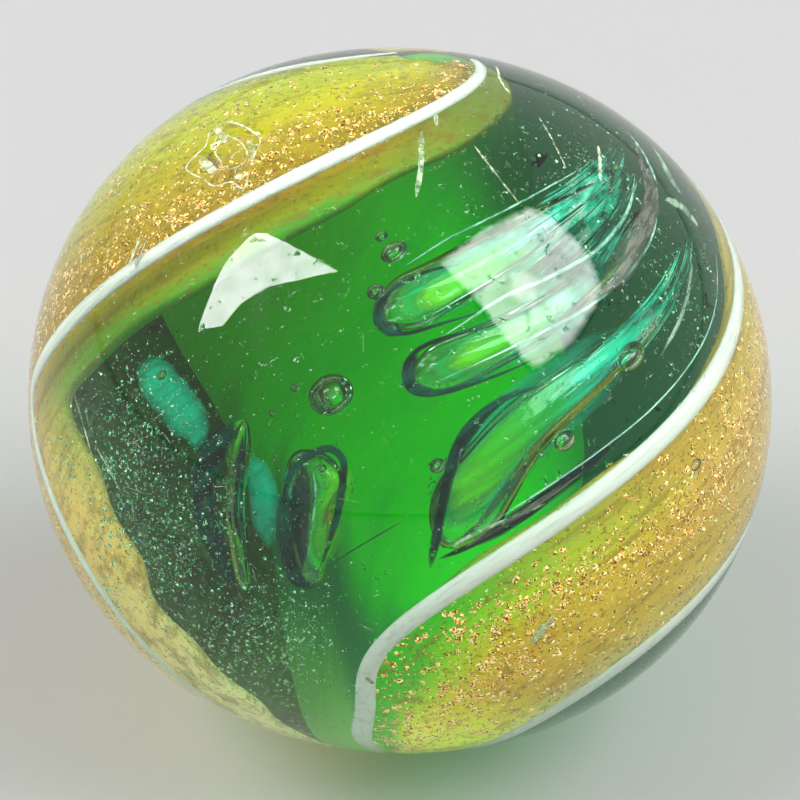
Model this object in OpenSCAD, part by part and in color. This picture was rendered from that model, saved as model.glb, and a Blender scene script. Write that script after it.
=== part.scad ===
// Handmade glass marble: a transparent green ball with a bright green core, two yellow bands under
// goldstone, each edged by two white strands, and finger-shaped air traps drawn out by the twist.
// It is built the way the glass was worked. Every coloured piece is a bar of a straight cane,
// and the cane is then twisted and drawn in to both poles, which turns each bar into a swirl.

/* [Ball] */
// Diameter round the equator
equator_d = 19; // [17:0.1:24]
// Height from pole to pole, a little less because the ends were sheared off flat
pole_h = 18; // [17.6:0.05:18.4]
// Radius of the arc that makes the side, from the equator up to each crown
side_arc_r = 8.9; // [8.6:0.05:8.95]

/* [Lie] */
// How far the pole leans back from upright as the marble lies, in degrees
pole_lean = 31; // [0:1:60]
// How far the pole leans to the right, in degrees
side_lean = 6; // [-10:1:10]

/* [Twist] */
// Turn from the equator to a pole if the twist were even, in degrees
twist_rate = 120; // [60:5:150]
// Extra turn towards the upper pole, less towards the lower, in degrees
twist_bias = 8; // [0:1:30]
// Turn taken off towards both poles, in degrees
twist_ease = 45; // [20:5:60]
// How hard the lines hook round at the upper pole and straighten at the lower, in degrees
twist_hook = 64; // [0:4:70]
// How much of its twist the upper band's front edge loses below the equator, where it hangs straight
front_hang = 1.45; // [0:0.05:1.6]

/* [White strands] */
// Thickness of a strand
strand_d = 0.42; // [0.3:0.02:0.6]
// Clear glass left over the strands
clear_skin = 0.25; // [0.22:0.01:0.35]
// Latitude at which strands and goldstone end short of the poles, in degrees
strand_end = 80; // [70:1:82]

/* [Bands] */
// Where the upper band starts round the equator, in degrees
upper_start = 107; // [100:1:112]
// Width of the upper band between its two strands, in degrees
upper_width = 82; // [70:1:90]
// Where the lower band starts round the equator, in degrees
lower_start = 308; // [302:1:314]
// Width of the lower band between its two strands, in degrees
lower_width = 60; // [45:1:68]
// Clear glass between one layer and the next
layer_gap = 0.2; // [0.18:0.01:0.25]
// Thickness of the goldstone layer
goldstone_t = 0.25; // [0.15:0.01:0.35]
// Thickness of the yellow layer
yellow_t = 0.5; // [0.3:0.05:0.7]
// How far the upper yellow runs ahead of its strands round the ball, in degrees
upper_lead = 9; // [0:1:14]
// How far the lower yellow runs ahead of its strands round the ball, in degrees
lower_lead = 3; // [0:1:14]
// Latitude at which the yellow ends, in degrees
yellow_end = 76; // [66:1:78]

/* [Core] */
// Length of the core from tip to tip
core_l = 15; // [13.5:0.1:15.4]
// Thickness of the core's blade
core_t = 3.2; // [2:0.1:3.6]
// How far the blade reaches from the pole axis on its broad side
core_reach = 5; // [4:0.1:5.2]
// How far it reaches on its narrow side
core_short = 2.4; // [1.6:0.1:3]

/* [Air traps] */
// Width of the widest air finger
finger_w = 2; // [1.4:0.1:2.2]
// Thickness of an air finger as a share of its width
finger_flat = 0.45; // [0.3:0.05:0.6]
// Diameter of the largest round bubble
bubble_d = 0.85; // [0.4:0.05:0.95]

/* [Hidden] */
$fn = 64;

// The ball's half profile is an oval of three arcs: a crown at each pole and the side between them
side_centre = equator_d / 2 - side_arc_r;
crown_r = (pow(equator_d / 2, 2) + pow(pole_h / 2, 2) - equator_d * side_arc_r) / (pole_h - 2 * side_arc_r);
crown_drop = crown_r - pole_h / 2;
join_angle = atan2(side_centre, crown_drop);
join_latitude = atan2(side_arc_r * cos(join_angle), side_centre + side_arc_r * sin(join_angle));

// Depths of the layers under the surface, each worked out from the one above
strand_depth = clear_skin + strand_d / 2;
goldstone_top = clear_skin + strand_d + layer_gap;
yellow_top = goldstone_top + goldstone_t + layer_gap;

// Degrees below the equator in which the upper band's front edge starts to hang
hang_start = 8;

// Steps of the swept pieces along the swirl and across a band
strand_steps = 24;
strand_sides = 6;
band_steps = 20;
band_parts = 6;
core_steps = 20;
core_sides = 12;
finger_steps = 8;
finger_sides = 8;

// Each air finger: cane angle and latitude of its blunt tip, the same of its tail, depth, width share
FINGERS = [
    [237, 18, 256, 47, 1.9, 0.75],
    [258, 7.5, 270, 38, 1.9, 0.7],
    [298, -19, 290, 24, 2, 1],
    [241, -2, 276, -33, 2.2, 0.35],
    [264, -6, 287, -30, 2.2, 0.75]
];
// Each round bubble: cane angle, latitude, depth and size share
BUBBLES = [
    [249.5, 4.5, 1, 1],
    [225, 28.5, 1, 0.5],
    [232, 21.5, 1, 0.42],
    [219, 31, 1, 0.35],
    [279.5, -5, 0.9, 0.42],
    [287, 13.5, 0.8, 0.7],
    [292.5, 0.5, 0.8, 0.6]
];
// Each chip in the surface: cane angle, latitude, radius of its dished floor and depth
CHIPS = [
    [169.5, 41.5, 4, 0.1],
    [185.5, 22, 3, 0.04]
];

// Distance from the centre to the surface at a latitude
function surface_r(lat) =
    abs(lat) > join_latitude
        ? -crown_drop * abs(sin(lat)) + sqrt(pow(crown_r, 2) - pow(crown_drop * cos(lat), 2))
        : side_centre * cos(lat) + sqrt(pow(side_arc_r, 2) - pow(side_centre * sin(lat), 2));

// Turn of the twisted cane at a latitude
function swirl(lat) =
    let (u = lat / 90)
    twist_rate * u + twist_bias * pow(u, 2) - twist_ease * pow(u, 3) + twist_hook * pow(u, 4);

// How far the upper band's front edge runs ahead of the twist at a latitude
function hang(lat) = lat < 0 ? -front_hang * swirl(lat) * (1 - exp(lat / hang_start)) : 0;

// A point of the straight cane, at an angle round it and a depth in it, on the finished ball
function on_ball(angle, depth, lat) =
    let (r = surface_r(lat) - depth, turn = angle + swirl(lat))
    [r * cos(lat) * cos(turn), r * cos(lat) * sin(turn), r * sin(lat)];

// The blade reaches far under the upper band in the upper half and under the lower band in the lower
function blade_reach(z, side) =
    let (up = 0.5 + 0.5 * sin(90 * max(-1, min(1, side * z / (core_l / 5)))))
    core_short + (core_reach - core_short) * up;

// Closed skin over a stack of loops of one even number of points, which run round the same way
module skin(loops) {
    m = len(loops[0]);
    last = (len(loops) - 1) * m;
    polyhedron(
        points = [for (loop = loops) each loop],
        faces = concat(
            [for (j = [0:m / 2 - 2]) each [[j, j + 1, m - 1 - j], [j + 1, m - 2 - j, m - 1 - j]]],
            [for (i = [0:len(loops) - 2], j = [0:m - 1])
                let (a = i * m + j, b = i * m + (j + 1) % m)
                each [[a, a + m, b], [b, a + m, b + m]]],
            [for (j = [0:m / 2 - 2])
                each [[last + j + 1, last + j, last + m - 1 - j],
                      [last + m - 2 - j, last + j + 1, last + m - 1 - j]]]
        )
    );
}

// Bar that follows the swirl between two places [cane angle, latitude], d wide and flat * d thick.
// It swells from blunt[0] of its size at the ends to all of it after a share blunt[1] of its length,
// and takes the share hung of the upper band's hang.
module swirl_bar(from, to, depth, d, flat, steps, sides, blunt, hung = 0) {
    skin([for (i = [0:steps])
        let (
            t = i / steps,
            place = from + (to - from) * t,
            r = d / 2 * (blunt[0] + (1 - blunt[0]) * min(1, sin(180 * t) / blunt[1])),
            middle = on_ball(place[0] + hung * hang(place[1]), depth, place[1]),
            step = (to - from) / norm(to - from) / 2,
            next = place + step,
            ahead = on_ball(next[0] + hung * hang(next[1]), depth, next[1]) - middle,
            out = middle / norm(middle),
            across = cross(out, ahead) / norm(cross(out, ahead)),
            up = cross(ahead / norm(ahead), across)
        )
        [for (j = [0:sides - 1])
            middle + r * (across * cos(360 * j / sides) + up * flat * sin(360 * j / sides))]]);
}

// Layer that follows the swirl: a sector of the ball between two depths, hung at its front edge
module swirl_layer(start, width, top, bottom, end_lat, hung = 0) {
    skin([for (i = [0:band_steps])
        let (
            lat = end_lat * (2 * i / band_steps - 1),
            part = (width + hung * hang(lat)) / band_parts
        )
        concat(
            [for (j = [0:band_parts]) on_ball(start + part * j, top, lat)],
            [for (j = [band_parts:-1:0]) on_ball(start + part * j, bottom, lat)]
        )]);
}

module lie() {
    rotate([-pole_lean, side_lean, 0]) children();
}

module white_strand(angle, hung = 0) {
    color("white")
        swirl_bar([angle, -strand_end], [angle, strand_end], strand_depth, strand_d, 1,
            strand_steps, strand_sides, [0.5, 0.3], hung);
}

module goldstone_band(start, width, hung = 0) {
    color("goldenrod")
        swirl_layer(start, width, goldstone_top, goldstone_top + goldstone_t, strand_end, hung);
}

module yellow_band(start, width, hung = 0) {
    color("yellow")
        swirl_layer(start, width, yellow_top, yellow_top + yellow_t, yellow_end, hung);
}

// Twisted blade: its long axis points at the middles of the two bands
module green_core() {
    color("limegreen")
        skin([for (i = [0:core_steps])
            let (
                z = -core_l / 2 * cos(180 * (i + 0.5) / (core_steps + 1)),
                full = sqrt(1 - pow(2 * z / core_l, 2)),
                turn = upper_start + upper_width / 2 + swirl(asin(2 * z / pole_h))
            )
            [for (j = [0:core_sides - 1])
                let (
                    a = 360 * j / core_sides,
                    x = cos(a) * full * blade_reach(z, cos(a) > 0 ? 1 : -1),
                    y = sin(a) * full * core_t / 2
                )
                [x * cos(turn) - y * sin(turn), x * sin(turn) + y * cos(turn), z]]]);
}

// Half of the oval, right of the axis: two crown discs, rounded off by the side disc
module ball_profile() {
    join_x = side_centre + side_arc_r * sin(join_angle);
    intersection() {
        translate([0, -crown_drop]) circle(crown_r);
        translate([0, crown_drop]) circle(crown_r);
        union() {
            translate([side_centre, 0]) circle(side_arc_r);
            translate([-1, -pole_h]) square([1 + join_x, 2 * pole_h]);
        }
        translate([0, -pole_h]) square([equator_d, 2 * pole_h]);
    }
}

module air_fingers() {
    for (f = FINGERS)
        swirl_bar([f[0], f[1]], [f[2], f[3]], f[4], finger_w * f[5], finger_flat,
            finger_steps, finger_sides, [0.15, 0.75]);
}

module bubbles() {
    for (b = BUBBLES)
        translate(on_ball(b[0], b[2], b[1]))
            sphere(d = bubble_d * b[3]);
}

module chips() {
    for (c = CHIPS)
        let (out = on_ball(c[0], 0, c[1]))
        translate(out * (1 + (c[2] - c[3]) / norm(out)))
            sphere(c[2]);
}

module glass_body() {
    color("seagreen", 0.4)
        difference() {
            rotate_extrude() ball_profile();
            chips();
            green_core();
            yellow_band(upper_start + upper_lead, upper_width, 1);
            yellow_band(lower_start + lower_lead, lower_width);
            goldstone_band(upper_start, upper_width, 1);
            goldstone_band(lower_start, lower_width);
            white_strand(upper_start);
            white_strand(upper_start + upper_width, 1);
            white_strand(lower_start);
            white_strand(lower_start + lower_width);
            air_fingers();
            bubbles();
        }
}

lie() glass_body();
lie() green_core();
lie() yellow_band(upper_start + upper_lead, upper_width, 1);  // yellow_band_upper
lie() yellow_band(lower_start + lower_lead, lower_width);  // yellow_band_lower
lie() goldstone_band(upper_start, upper_width, 1);  // goldstone_band_upper
lie() goldstone_band(lower_start, lower_width);  // goldstone_band_lower
lie() white_strand(upper_start);  // white_strand_upper_back
lie() white_strand(upper_start + upper_width, 1);  // white_strand_upper_front
lie() white_strand(lower_start);  // white_strand_lower_front
lie() white_strand(lower_start + lower_width);  // white_strand_lower_back
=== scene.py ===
import bpy
import bmesh
import math
import random
from mathutils import Matrix, Vector


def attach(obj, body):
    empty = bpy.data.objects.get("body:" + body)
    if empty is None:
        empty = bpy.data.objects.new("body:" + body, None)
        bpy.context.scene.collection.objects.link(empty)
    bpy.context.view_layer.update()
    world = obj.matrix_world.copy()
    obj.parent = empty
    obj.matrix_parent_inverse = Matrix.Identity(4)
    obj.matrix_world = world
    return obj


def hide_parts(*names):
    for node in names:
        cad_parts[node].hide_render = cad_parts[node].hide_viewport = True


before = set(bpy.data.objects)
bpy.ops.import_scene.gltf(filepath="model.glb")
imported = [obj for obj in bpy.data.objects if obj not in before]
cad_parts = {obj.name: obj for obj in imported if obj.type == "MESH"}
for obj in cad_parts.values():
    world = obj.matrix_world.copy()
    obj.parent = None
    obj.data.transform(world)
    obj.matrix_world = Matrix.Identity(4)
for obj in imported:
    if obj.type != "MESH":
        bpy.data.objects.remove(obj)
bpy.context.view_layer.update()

mm = 0.001
random.seed(7)

# The ball's own sizes in mm and its twist in degrees, as in the part's source
ball = {
    "equator": 19.0, "poleToPole": 18.0, "sideArc": 8.9, "poleLean": 31.0, "sideLean": 6.0,
    "twistRate": 120.0, "twistBias": 8.0, "twistEase": 45.0, "twistHook": 64.0,
    "frontHang": 1.45, "hangStart": 8.0, "bow": 7.2, "bowLat": -54.0, "bowSpread": 13.0,
}

# Where the camera stands: angle over the floor, distance in mm, lens and the same as pixels, then the
# picture's middle and the ball's own middle in it
shot = {
    "elevation": 36.0, "distance": 133.0, "lens": 234.0, "focal": 5200.0, "middle": 400.0,
    "ballAt": (400, 402),
}
tilt = math.radians(shot["elevation"])
right = Vector((1, 0, 0))
back = Vector((0, -math.cos(tilt), math.sin(tilt)))
up = Vector((0, math.sin(tilt), math.cos(tilt)))

sideCentre = ball["equator"] / 2 - ball["sideArc"]
crownRadius = (
    (ball["equator"] / 2) ** 2 + (ball["poleToPole"] / 2) ** 2 - ball["equator"] * ball["sideArc"]
) / (ball["poleToPole"] - 2 * ball["sideArc"])
crownDrop = crownRadius - ball["poleToPole"] / 2
joinAngle = math.atan2(sideCentre, crownDrop)
joinLat = math.atan2(
    ball["sideArc"] * math.cos(joinAngle), sideCentre + ball["sideArc"] * math.sin(joinAngle)
)
lie = (
    Matrix.Rotation(math.radians(ball["sideLean"]), 3, "Y")
    @ Matrix.Rotation(-math.radians(ball["poleLean"]), 3, "X")
)
unlie = lie.inverted()


def surfaceReach(lat):
    # centre to surface at a latitude in radians, in mm
    if abs(lat) > joinLat:
        drop = crownDrop * math.cos(lat)
        return math.sqrt(crownRadius**2 - drop**2) - crownDrop * abs(math.sin(lat))
    rise = sideCentre * math.sin(lat)
    return math.sqrt(ball["sideArc"] ** 2 - rise**2) + sideCentre * math.cos(lat)


def swirl(lat):
    # turn of the twisted cane at a latitude in degrees
    u = lat / 90
    even = ball["twistRate"] * u + ball["twistBias"] * u**2
    return even - ball["twistEase"] * u**3 + ball["twistHook"] * u**4


def hang(lat):
    # how far the upper band's front edge runs ahead of the twist, below the equator
    if lat >= 0:
        return 0.0
    return -ball["frontHang"] * swirl(lat) * (1 - math.exp(lat / ball["hangStart"]))


def footBend(lat):
    # the lower band's back edge bows out a little near the lower pole
    return ball["bow"] * math.exp(-(((lat - ball["bowLat"]) / ball["bowSpread"]) ** 2))


def onBall(angle, depth, lat):
    # a point of the straight cane, at an angle round it and a depth in mm, on the twisted ball
    a = math.radians(angle + swirl(lat))
    b = math.radians(lat)
    local = Vector((math.cos(b) * math.cos(a), math.cos(b) * math.sin(a), math.sin(b)))
    return lie @ local * ((surfaceReach(b) - depth) * mm)


def depthAt(place):
    # depth under the surface in metres, negative outside the ball
    local = unlie @ place
    return surfaceReach(math.asin(max(-1, min(1, local.z / local.length)))) * mm - local.length


def normalAt(place):
    h = 0.02 * mm
    slope = [depthAt(place + Vector(axis) * h) for axis in ((1, 0, 0), (0, 1, 0), (0, 0, 1))]
    return -(Vector(slope) - Vector((1, 1, 1)) * depthAt(place)).normalized()


def atPixel(px, py):
    # the camera's line through a place of the picture, and where it meets the ball
    ray = (right * (px - shot["middle"]) - up * (py - shot["middle"])) / shot["focal"] - back
    ray.normalize()
    eye = back * (shot["distance"] * mm)
    near = (shot["distance"] - 15) * mm
    far = shot["distance"] * mm
    for step in range(20):
        halfway = (near + far) / 2
        if depthAt(eye + ray * halfway) > 0:
            far = halfway
        else:
            near = halfway
    return ray, eye + ray * far


def onDisc(px, py, limit):
    # whether a place of the picture lies on the ball, up to this many pixels from its middle
    return math.hypot(px - shot["ballAt"][0], py - shot["ballAt"][1]) < limit


def caneAt(px, py, depth):
    # (cane angle, depth, latitude) of what is seen through the glass at a place of the picture
    ray, place = atPixel(px, py)
    out = normalAt(place)
    facing = -ray.dot(out) / glassLook["ior"]
    bent = ray / glassLook["ior"] + out * (facing - math.sqrt(1 - 1 / glassLook["ior"] ** 2 + facing**2))
    far = 0.0
    for step in range(6):
        far += (depth * mm - depthAt(place + bent * far)) / -bent.dot(out)
    local = unlie @ (place + bent * far)
    lat = math.degrees(math.asin(local.z / local.length))
    return math.degrees(math.atan2(local.y, local.x)) - swirl(lat), depth, lat


def alongPath(path, t):
    # smooth line through rows of numbers, t from 0 to 1
    last = len(path) - 1
    i = min(int(t * last), last - 1)
    f = t * last - i
    a, b, c, d = (path[max(0, min(last, k))] for k in (i - 1, i, i + 1, i + 2))
    if i == 0:
        a = [2 * q - r for q, r in zip(b, c)]
    if i == last - 1:
        d = [2 * r - q for q, r in zip(b, c)]
    return [
        q + 0.5 * f * (r - p + f * (2 * p - 5 * q + 4 * r - s + f * (3 * (q - r) + s - p)))
        for p, q, r, s in zip(a, b, c, d)
    ]


def addBar(bm, path, wide, thick, shape, sides=8, steps=16, shift=None, run=None):
    # closed bar along a path of (cane angle, depth, latitude); shape(t, around) scales its section,
    # shift(lat) turns it off the path, run is kept on its points for its colour
    def place(t):
        angle, depth, lat = alongPath(path, t)
        return onBall(angle + (shift(lat) if shift else 0), depth, lat)
    if run:
        layer = bm.verts.layers.float.get("run") or bm.verts.layers.float.new("run")
        rim = bm.verts.layers.float.get("rim") or bm.verts.layers.float.new("rim")
    made = bmesh.ops.create_uvsphere(bm, u_segments=sides, v_segments=steps, radius=1.0)["verts"]
    rings = {}
    for v in made:
        t = math.acos(max(-1, min(1, -v.co.z))) / math.pi
        key = round(t, 5)
        if run:
            v[layer] = run[0] + (run[1] - run[0]) * t
            v[rim] = (1 - abs(math.cos(math.atan2(v.co.y, v.co.x)))) * min(1, 5 * min(t, 1 - t))
        if key not in rings:
            middle = place(t)
            along = (place(min(1, t + 0.01)) - place(max(0, t - 0.01))).normalized()
            across = along.cross(middle.normalized()).normalized()
            rings[key] = (middle, across, across.cross(along))
        middle, across, out = rings[key]
        side = math.hypot(v.co.x, v.co.y)
        if side < 1e-6:
            v.co = middle
            continue
        around = math.atan2(v.co.y, v.co.x)
        size = shape(t, around) * mm / 2
        v.co = middle + across * (v.co.x / side * wide * size) + out * (v.co.y / side * thick * size)
    return made


def blunt(t, start, end):
    # rounds off both ends of a bar over these shares of its length
    nose = math.sin(math.pi / 2 * min(1, t / start)) ** 0.6 if t > 0 else 0
    return nose * math.sin(math.pi / 2 * min(1, (1 - t) / end))


def gather(rows, addOne, batch=100):
    # many small shapes in one mesh, made a batch at a time because that is far quicker
    whole = bmesh.new()
    for first in range(0, len(rows), batch):
        some = bmesh.new()
        for row in rows[first:first + batch]:
            addOne(some, row)
        mesh = bpy.data.meshes.new("batch")
        some.to_mesh(mesh)
        some.free()
        whole.from_mesh(mesh)
        bpy.data.meshes.remove(mesh)
    return whole


def meshObject(name, bm, material):
    mesh = bpy.data.meshes.new(name)
    bm.to_mesh(mesh)
    bm.free()
    mesh.materials.append(material)
    made = bpy.data.objects.new(name, mesh)
    bpy.context.scene.collection.objects.link(made)
    return made


def finishPiece(name, bm, material, stands=()):
    for face in bm.faces:
        face.smooth = True
    piece = meshObject(name, bm, material)
    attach(piece, "root")
    if stands:
        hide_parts(*stands)
    return piece


def makePiece(name, bm, material, stands=()):
    bmesh.ops.recalc_face_normals(bm, faces=bm.faces)
    return finishPiece(name, bm, material, stands)


def atDepth(points, depth):
    # (cane angle, latitude) to (cane angle, depth, latitude)
    return [(angle, depth, lat) for (angle, lat) in points]


def inGlass(points, depth):
    # what is seen through the glass at these places of the picture
    return [caneAt(px, py, depth) for (px, py) in points]


def makeBars(name, material, rows, path, thick, ends, sides, steps, run=None):
    # one piece of blunt bars, each as (points, width, depth, and its own run)
    bm = bmesh.new()
    for points, width, depth, *own in rows:
        line = path(points, depth)
        ownRun = own[0] if own else run
        addBar(bm, line, width, thick(width), lambda t, around: blunt(t, *ends), sides, steps, run=ownRun)
    makePiece(name, bm, material)


# Node helpers
def newMaterial(name):
    mat = bpy.data.materials.new(name)
    mat.use_nodes = True
    return mat, mat.node_tree, mat.node_tree.nodes["Principled BSDF"]


def feed(tree, value, socket):
    # a number, a colour or another node's output into a socket
    if isinstance(value, bpy.types.NodeSocket):
        tree.links.new(value, socket)
    elif value is not None:
        socket.default_value = value


def fill(tree, node, **values):
    # feeds a node's inputs by their names, with an underscore for each space
    for name, value in values.items():
        feed(tree, value, node.inputs[name.replace("_", " ")])
    return node


def addNode(tree, kind, **values):
    return fill(tree, tree.nodes.new("ShaderNode" + kind), **values)


def sums(tree, op, a, b=None, c=None):
    node = addNode(tree, "Math")
    node.operation = op
    for value, socket in zip((a, b, c), node.inputs):
        feed(tree, value, socket)
    return node.outputs[0]


def ramp(tree, source, stops):
    node = addNode(tree, "ValToRGB", Fac=source)
    elements = node.color_ramp.elements
    while len(elements) < len(stops):
        elements.new(0.5)
    for element, (place, colour) in zip(elements, stops):
        element.position = place
        element.color = (*colour, 1.0) if isinstance(colour, tuple) else (colour, colour, colour, 1.0)
    return node.outputs["Color"]


def blend(tree, amount, first, second):
    node = addNode(tree, "Mix")
    node.data_type = "RGBA"
    feed(tree, amount, node.inputs["Factor"])
    for value, name in ((first, "A"), (second, "B")):
        socket = [s for s in node.inputs if s.name == name and s.type == "RGBA"][0]
        feed(tree, (*value, 1.0) if isinstance(value, tuple) else value, socket)
    return [s for s in node.outputs if s.type == "RGBA"][0]


def kept(tree, name):
    # a value kept on the piece's own points
    node = addNode(tree, "Attribute")
    node.attribute_name = name
    return node.outputs["Fac"]


def ownPlace(tree):
    return addNode(tree, "TexCoord").outputs["Object"]


def grain(tree, scale, detail=2.0, rough=0.5):
    # plain noise in the piece's own space, scale in lumps per metre
    noise = addNode(tree, "TexNoise", Vector=ownPlace(tree), Scale=scale, Detail=detail, Roughness=rough)
    return noise.outputs["Fac"]


def paint(mat, colour, rough, glow=0.0):
    # an inner piece's colour, its roughness between two values and a glow in its own colour, painted light
    # that stands in for the light it passes on
    tree = mat.node_tree
    shader = tree.nodes["Principled BSDF"]
    mat.cycles.emission_sampling = "NONE"  # a faint glow needs no light samples
    uneven = ramp(tree, grain(tree, 1100), [(0.3, rough[0]), (0.7, rough[1])])
    fill(tree, shader, Base_Color=colour, Roughness=uneven, Specular_IOR_Level=glassLook["inside"])
    if glow:
        fill(tree, shader, Emission_Color=colour, Emission_Strength=glow)


# Shader group: noise drawn out along the swirl, and the latitude
def buildSwirlGroup():
    group = bpy.data.node_groups.new("swirlStreaks", "ShaderNodeTree")
    face = group.interface
    for name, value in (("Across", 900.0), ("Along", 90.0), ("Detail", 3.0)):
        face.new_socket(name, in_out="INPUT", socket_type="NodeSocketFloat").default_value = value
    for name in ("Streaks", "Latitude"):
        face.new_socket(name, in_out="OUTPUT", socket_type="NodeSocketFloat")
    enter = group.nodes.new("NodeGroupInput").outputs
    upright = addNode(group, "Mapping", Vector=ownPlace(group))
    upright.inputs["Rotation"].default_value = unlie.to_euler("XYZ")
    unit = group.nodes.new("ShaderNodeVectorMath")
    unit.operation = "NORMALIZE"
    feed(group, upright.outputs[0], unit.inputs[0])
    parts = addNode(group, "SeparateXYZ", Vector=unit.outputs[0])
    lat = sums(group, "ARCSINE", parts.outputs["Z"])
    u = sums(group, "DIVIDE", lat, math.pi / 2)
    rates = [math.radians(ball[k]) for k in ("twistRate", "twistBias", "twistEase", "twistHook")]
    turn = sums(group, "MULTIPLY_ADD", u, rates[3], -rates[2])
    turn = sums(group, "MULTIPLY_ADD", u, turn, rates[1])
    turn = sums(group, "MULTIPLY_ADD", u, turn, rates[0])
    turn = sums(group, "MULTIPLY", sums(group, "MULTIPLY", u, turn), -1.0)
    untwist = addNode(group, "VectorRotate")
    untwist.rotation_type = "Z_AXIS"
    fill(group, untwist, Vector=upright.outputs[0], Angle=turn)
    cane = addNode(group, "SeparateXYZ", Vector=untwist.outputs[0])
    flat = addNode(group, "CombineXYZ")
    for axis, scale in (("X", "Across"), ("Y", "Across"), ("Z", "Along")):
        feed(group, sums(group, "MULTIPLY", cane.outputs[axis], enter[scale]), flat.inputs[axis])
    noise = addNode(group, "TexNoise", Vector=flat.outputs[0], Scale=1.0, Detail=enter["Detail"])
    fill(group, group.nodes.new("NodeGroupOutput"), Streaks=noise.outputs["Fac"], Latitude=lat)
    return group


swirlGroup = buildSwirlGroup()


def streaks(tree, across, along, detail=3.0):
    node = addNode(tree, "Group")
    node.node_tree = swirlGroup
    return fill(tree, node, Across=across, Along=along, Detail=detail)


def lined(tree, across, along, detail=3.0):
    return streaks(tree, across, along, detail).outputs["Streaks"]


def swayed(tree, name, lines, far):
    # a value kept on the points, moved to and fro by the streaks
    return sums(tree, "ADD", kept(tree, name), sums(tree, "MULTIPLY_ADD", lines, far, -far / 2))


def towards(tree, direction):
    # how far along a direction a place lies, in metres
    dot = addNode(tree, "VectorMath")
    dot.operation = "DOT_PRODUCT"
    feed(tree, ownPlace(tree), dot.inputs[0])
    dot.inputs[1].default_value = direction
    return dot.outputs["Value"]


def between(tree, value, low, high, kind="SMOOTHSTEP"):
    # 0 at low and 1 at high
    node = addNode(tree, "MapRange", Value=value, From_Min=low, From_Max=high)
    node.interpolation_type = kind
    return node.outputs["Result"]


def bumped(tree, shader, height, distance):
    bump = addNode(tree, "Bump", Distance=distance, Height=height)
    feed(tree, bump.outputs["Normal"], shader.inputs["Normal"])


# Clear green glass: how far light gets through it, and how its worn skin looks
glassLook = {
    "ior": 1.5,
    "density": 285.0,
    "through": (0.08, 0.57, 0.33),
    "haze": 0.09,
    "pitDepth": 0.000012,
    "inside": 0.15,  # how little the coloured pieces inside the glass shine
}


def clearGlass():
    mat, tree, shader = newMaterial("clearGreenGlass")
    haze = ramp(tree, grain(tree, 420, 3, 0.6), [(0.5, 0.0), (0.72, glassLook["haze"])])
    fill(tree, shader, Base_Color=(1, 1, 1, 1), IOR=glassLook["ior"], Roughness=haze)
    shader.inputs["Transmission Weight"].default_value = 1.0
    lumps = ramp(tree, grain(tree, 3500, 2, 0.6), [(0.3, 0.0), (0.36, 1.0)])
    height = sums(tree, "MULTIPLY_ADD", grain(tree, 260, 1), 1.6, lumps)
    bumped(tree, shader, height, glassLook["pitDepth"])
    mix = addNode(tree, "MixShader", Fac=addNode(tree, "LightPath").outputs["Is Shadow Ray"])
    tree.links.new(shader.outputs[0], mix.inputs[1])
    tree.links.new(addNode(tree, "BsdfTransparent").outputs[0], mix.inputs[2])
    absorb = addNode(
        tree, "VolumeAbsorption", Color=(*glassLook["through"], 1), Density=glassLook["density"],
    )
    output = tree.nodes["Material Output"]
    tree.links.new(mix.outputs[0], output.inputs["Surface"])
    tree.links.new(absorb.outputs[0], output.inputs["Volume"])
    return mat


# Air fingers: path as (cane angle, depth, latitude) from the blunt tip to the drawn-out tail,
# width, thickness, share kept at the tail and number of ridges round them
fingers = [
    ([(237, 1.9, 18), (238, 1.9, 24), (241, 1.9, 32.5), (247, 1.9, 41), (263, 1.9, 50)],
     1.5, 0.75, 0.35, 7),
    ([(257.5, 1.9, 7.5), (260, 1.9, 13), (264, 1.9, 20), (267, 1.9, 30), (273, 1.9, 41)],
     1.35, 0.7, 0.35, 7),
    ([(303, 2.0, -20.5), (294, 2.1, -9), (287, 2.1, 1.5), (286, 2.1, 12), (290, 2.1, 24)],
     2.0, 0.8, 0.3, 9),
    ([(241, 2.2, -1.5), (250, 2.2, -9), (259, 2.2, -17), (268, 2.2, -25), (277, 2.2, -34)],
     0.55, 0.5, 0.5, 5),
    ([(263, 2.2, -6), (267, 2.2, -11), (275, 2.2, -19), (282, 2.2, -25), (288, 2.2, -31)],
     1.6, 0.9, 0.5, 5),
]
# Bubbles: cane angle, depth, latitude, diameter and how much longer than wide
bubbles = [
    (249.5, 1.0, 4.6, 0.95, 1.15), (225, 1.0, 28.5, 0.46, 1.5), (232, 1.0, 21.5, 0.36, 1.2),
    (219, 1.0, 31, 0.26, 1.2), (243, 1.0, 5, 0.2, 1), (220, 1.0, 4.2, 0.22, 1.4),
    (245.5, 1.0, 0.7, 0.18, 1), (279.5, 0.9, -4.8, 0.34, 1.2), (287, 0.8, 13.7, 0.6, 1.5),
    (292.5, 0.8, 0.4, 0.5, 1.2), (322, 0.3, -2.7, 0.3, 1.3), (253.5, 1.0, -10.7, 0.26, 1.3),
    (259, 1.0, -15.3, 0.22, 1.2), (264.5, 1.0, -7, 0.2, 1),
]
# Dents in the skin: cane angle, latitude, ring or dish radius, groove width and depth, in mm
dents = [
    (169.4, 41.6, 0.62, 0.16, 0.16),
    (185.6, 22.2, 0.0, 0.3, 0.06),
    (322, -29, 0.0, 0.3, 0.05),
]


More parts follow.
